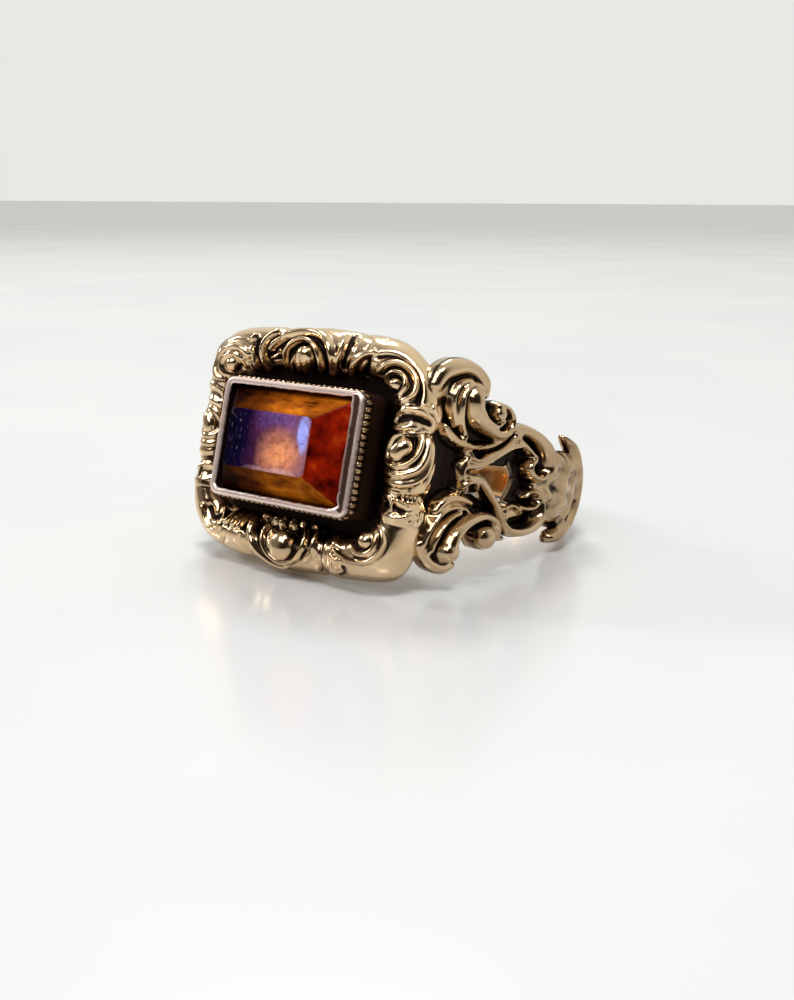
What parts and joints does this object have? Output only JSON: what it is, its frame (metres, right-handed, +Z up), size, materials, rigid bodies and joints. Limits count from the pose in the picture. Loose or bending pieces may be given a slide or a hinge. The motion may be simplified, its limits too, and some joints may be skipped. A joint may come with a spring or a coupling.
{
  "type": "stone-set dress ring",
  "caption": "Gold dress ring: a table-cut amber stone in a rubbed-over rectangular collet, inside a puffed and chased border, on pierced scroll shoulders and a plain shank.",
  "frame": {"origin": "centre of the finger hole", "axes": "the ring lies on its side: +Z is up and 16 degrees from the finger hole's axis, -Y is the side that the stone faces, and X runs from shoulder to shoulder"},
  "size_m": [0.0202, 0.0246, 0.0133],
  "materials": {
    "gold": "polished, with dark patina in the recesses",
    "rose_gold": "worn polish",
    "amber": "clear, polished facets"
  },
  "bodies": {
    "root": {"ring_mount": "gold", "collet": "rose_gold", "amber_stone": "amber"}
  },
  "joints": []
}
